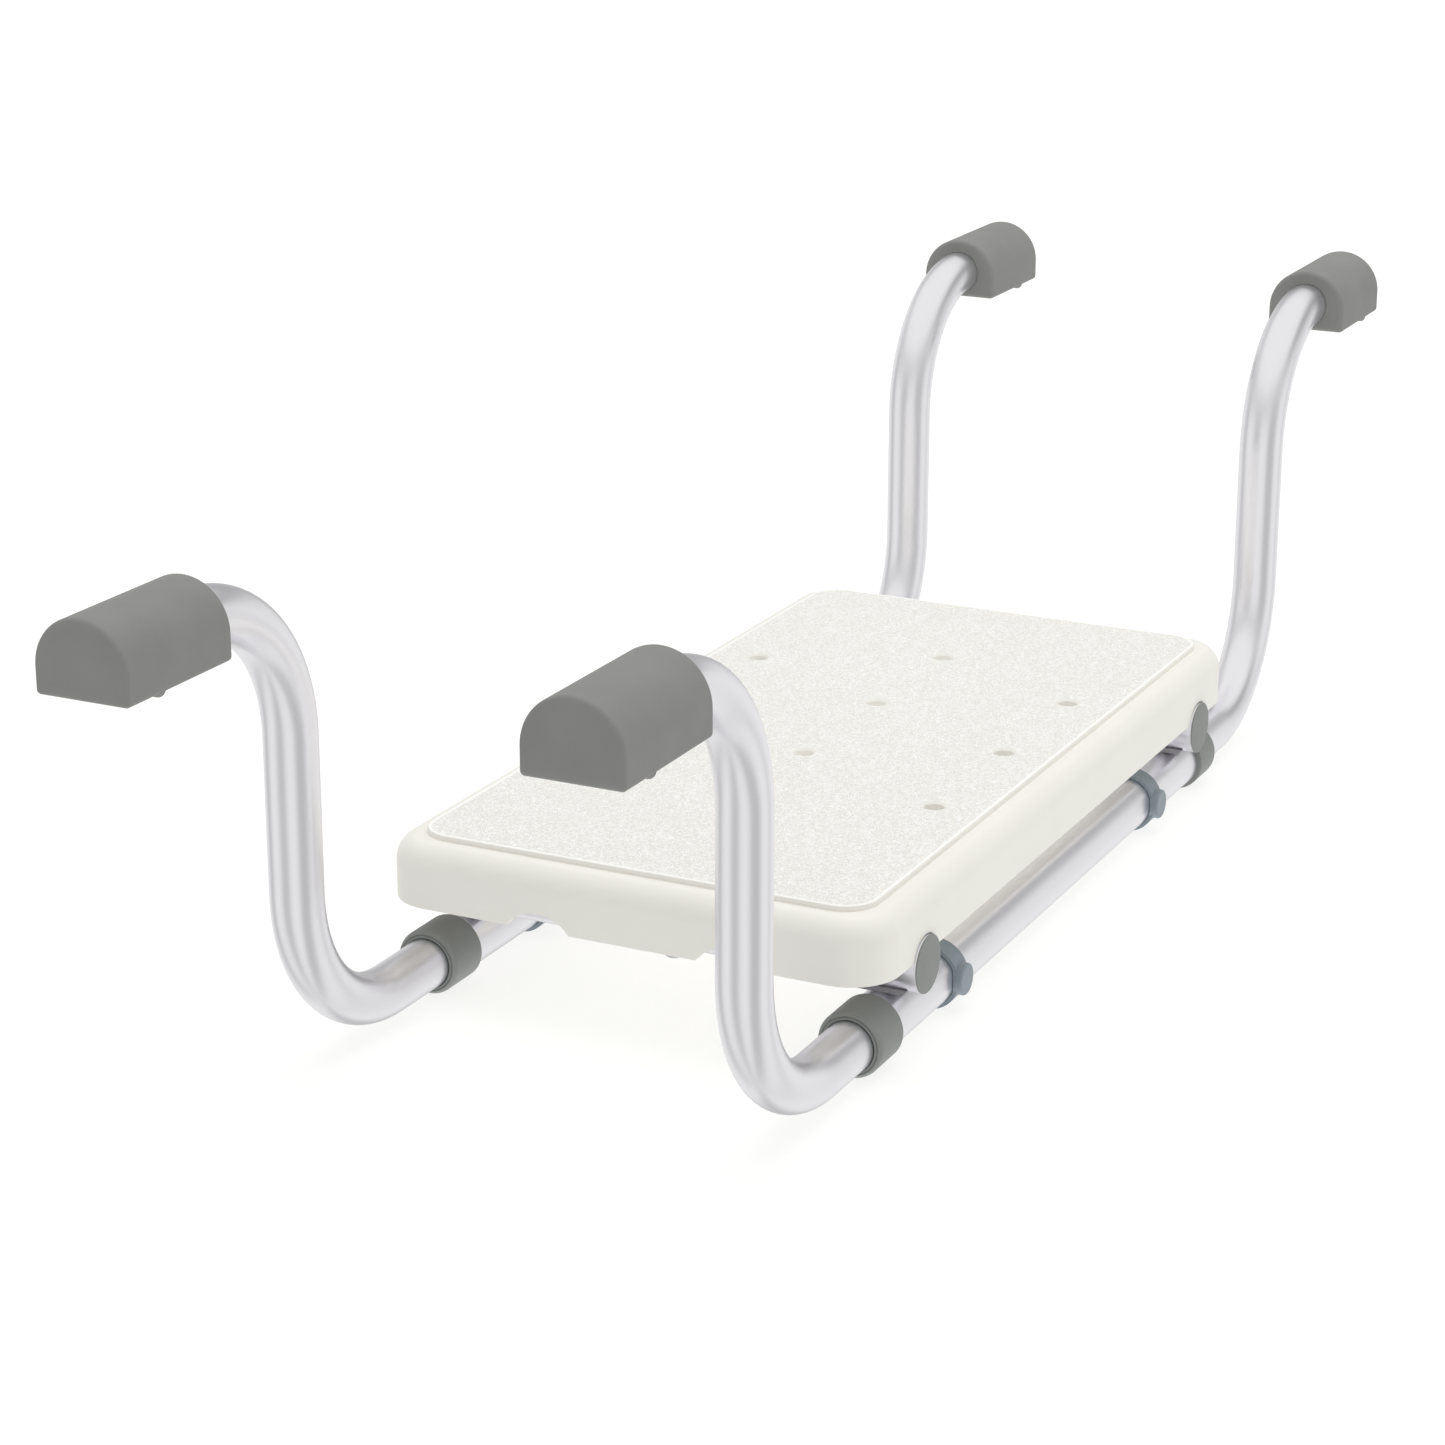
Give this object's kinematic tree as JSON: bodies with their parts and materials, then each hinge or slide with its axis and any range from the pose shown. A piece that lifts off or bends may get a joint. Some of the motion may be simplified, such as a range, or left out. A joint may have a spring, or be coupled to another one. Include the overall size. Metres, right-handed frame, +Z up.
{
  "type": "bath seat",
  "caption": "Seat board on a tube frame that hangs between a bathtub's rims on padded sliding arms, locked by pinned clips.",
  "frame": {"origin": "under the middle of the frame, level with the underside of the collars", "axes": "+X across the tub towards the far rim, +Y along the tub, +Z up"},
  "size_m": [0.7946, 0.2168, 0.2086],
  "materials": {
    "seat_plastic": "ivory moulded plastic with a fine leather grain on the panel",
    "aluminium": "satin, drawn along its length",
    "rubber": "matte grey",
    "collar_plastic": "matte grey",
    "clip_plastic": "semi-matte blue grey",
    "spacer_plastic": "matte dark grey",
    "steel": "plain"
  },
  "bodies": {
    "frame": {"seat_board": "seat_plastic", "seat_screws": "steel", "frame_rivets": "steel", "rail_front": "aluminium", "rail_rear": "aluminium", "cross_tube_near": "aluminium", "cross_tube_far": "aluminium", "washer_near": "spacer_plastic", "washer_far": "spacer_plastic", "collar_near_front": "collar_plastic", "collar_near_rear": "collar_plastic", "collar_far_front": "collar_plastic", "collar_far_rear": "collar_plastic", "spacer_near_front": "spacer_plastic", "spacer_near_rear": "spacer_plastic", "spacer_far_front": "spacer_plastic", "spacer_far_rear": "spacer_plastic", "end_cap_near_front": "collar_plastic", "end_cap_near_rear": "collar_plastic", "end_cap_far_front": "collar_plastic", "end_cap_far_rear": "collar_plastic"},
    "arm_near_front": {"arm_near_front": "aluminium", "pad_near_front": "rubber"},
    "clip_near_front": {"clip_near_front": "clip_plastic"},
    "arm_near_rear": {"arm_near_rear": "aluminium", "pad_near_rear": "rubber"},
    "clip_near_rear": {"clip_near_rear": "clip_plastic"},
    "arm_far_front": {"arm_far_front": "aluminium", "pad_far_front": "rubber"},
    "clip_far_front": {"clip_far_front": "clip_plastic"},
    "arm_far_rear": {"arm_far_rear": "aluminium", "pad_far_rear": "rubber"},
    "clip_far_rear": {"clip_far_rear": "clip_plastic"}
  },
  "joints": [
    {"name": "arm_near_front_slide", "type": "slide", "parent": "frame", "child": "arm_near_front", "axis": [-1, 0, 0], "range_m": [-0.02, 0.04]},
    {"name": "clip_near_front_pull", "type": "slide", "parent": "frame", "child": "clip_near_front", "axis": [0, -1, 0], "range_m": [0, 0.018]},
    {"name": "arm_near_rear_slide", "type": "slide", "parent": "frame", "child": "arm_near_rear", "axis": [-1, 0, 0], "range_m": [-0.02, 0.04]},
    {"name": "clip_near_rear_pull", "type": "slide", "parent": "frame", "child": "clip_near_rear", "axis": [0, -1, 0], "range_m": [0, 0.018]},
    {"name": "arm_far_front_slide", "type": "slide", "parent": "frame", "child": "arm_far_front", "axis": [1, 0, 0], "range_m": [-0.02, 0.04]},
    {"name": "clip_far_front_pull", "type": "slide", "parent": "frame", "child": "clip_far_front", "axis": [0, -1, 0], "range_m": [0, 0.018]},
    {"name": "arm_far_rear_slide", "type": "slide", "parent": "frame", "child": "arm_far_rear", "axis": [1, 0, 0], "range_m": [-0.02, 0.04]},
    {"name": "clip_far_rear_pull", "type": "slide", "parent": "frame", "child": "clip_far_rear", "axis": [0, -1, 0], "range_m": [0, 0.018]}
  ]
}
